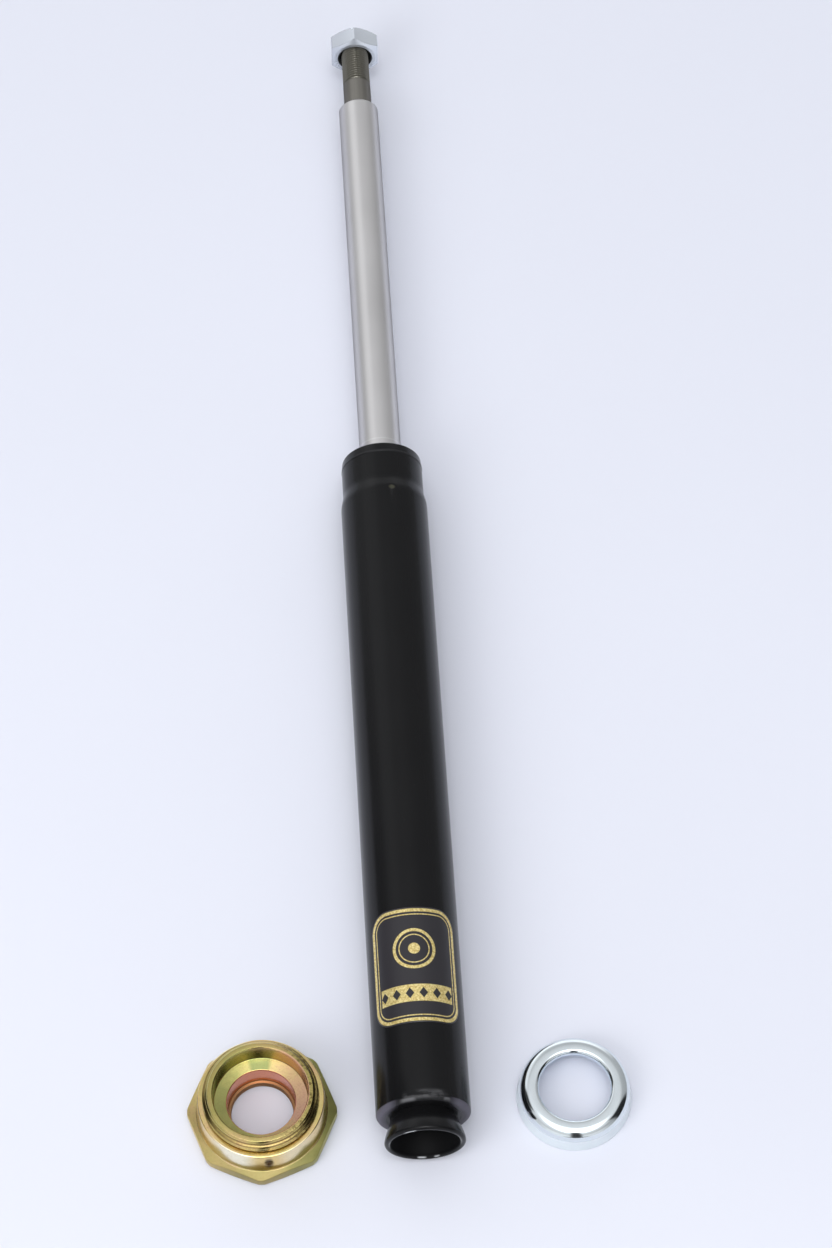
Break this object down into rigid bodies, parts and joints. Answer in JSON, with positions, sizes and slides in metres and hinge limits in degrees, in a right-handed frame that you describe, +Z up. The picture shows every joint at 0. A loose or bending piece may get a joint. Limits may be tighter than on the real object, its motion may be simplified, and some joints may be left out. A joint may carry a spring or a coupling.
{
  "type": "shock absorber",
  "caption": "Twin-tube strut insert lying on its side: black tube, sliding rod with threaded stud and nut, valves and seal inside, with its gland nut and end cap beside it.",
  "frame": {"origin": "on the insert's axis, in the plane of the foot collar's rim", "axes": "+Y along the axis towards the rod's stud, +Z up from the floor that the insert lies on"},
  "size_m": [0.1936, 0.6245, 0.0412],
  "materials": {
    "black_paint": "semi-gloss black paint over steel",
    "bare_steel": "bare oiled steel",
    "sintered_iron": "matt sintered iron",
    "spring_steel": "blued spring steel",
    "bronze": "bronze bearing metal with a grey running layer",
    "black_rubber": "matt black rubber",
    "white_nylon": "moulded nylon",
    "ground_rod": "satin ground and chromed steel, stud left as rolled",
    "black_nut": "blackened steel",
    "bright_zinc": "bright bluish zinc plate",
    "yellow_zinc": "yellow passivated zinc plate",
    "label_film": "printed film, black with gold"
  },
  "bodies": {
    "tube": {"outer_tube": "black_paint", "foot_collar": "black_paint", "base_cap": "black_paint", "pressure_tube": "bare_steel", "foot_valve_body": "sintered_iron", "foot_valve_pin": "bare_steel", "foot_valve_discs": "spring_steel", "foot_check_spring": "spring_steel", "rod_guide": "sintered_iron", "guide_bush": "bronze", "guide_o_ring": "black_rubber", "rod_seal": "black_rubber", "seal_garter_spring": "spring_steel", "seal_washer": "bare_steel", "body_label": "label_film"},
    "foot_plate": {"foot_check_plate": "spring_steel"},
    "band": {"piston_band": "white_nylon"},
    "rod": {"piston_rod": "ground_rod", "piston": "sintered_iron", "piston_check_spring": "spring_steel", "piston_stop_washer": "bare_steel", "rebound_discs": "spring_steel", "rebound_washer": "bare_steel", "piston_nut": "black_nut", "rebound_stop": "white_nylon", "stop_seat": "bare_steel", "stop_ring": "spring_steel"},
    "piston_plate": {"piston_check_plate": "spring_steel"},
    "rod_nut": {"rod_nut": "bright_zinc"},
    "gland_nut": {"gland_nut": "yellow_zinc"},
    "end_cap": {"end_cap": "bright_zinc"}
  },
  "joints": [
    {"name": "rod_slide", "type": "slide", "parent": "tube", "child": "band", "axis": [0, 1, 0], "range_m": [-0.175, 0]},
    {"name": "rod_turn", "type": "hinge", "parent": "band", "child": "rod", "pos_m": [0, 0.2348, 0], "axis": [0, 1, 0], "continuous": true},
    {"name": "rod_nut_off", "type": "slide", "parent": "rod", "child": "rod_nut", "axis": [0, 1, 0], "range_m": [0, 0.07]},
    {"name": "foot_plate_lift", "type": "slide", "parent": "tube", "child": "foot_plate", "axis": [0, 1, 0], "range_m": [0, 0.0008], "stiffness_N_per_m": 600, "springref_m": -0.0005, "deforming": ["foot_check_spring"]},
    {"name": "piston_plate_lift", "type": "slide", "parent": "rod", "child": "piston_plate", "axis": [0, 1, 0], "range_m": [0, 0.0008], "stiffness_N_per_m": 600, "springref_m": -0.0005, "deforming": ["piston_check_spring"]},
    {"name": "gland_nut_lift", "type": "slide", "parent": "tube", "child": "gland_nut", "axis": [0, 0, 1], "range_m": [0, 0.15]},
    {"name": "end_cap_lift", "type": "slide", "parent": "tube", "child": "end_cap", "axis": [0, 0, 1], "range_m": [0, 0.15]}
  ]
}
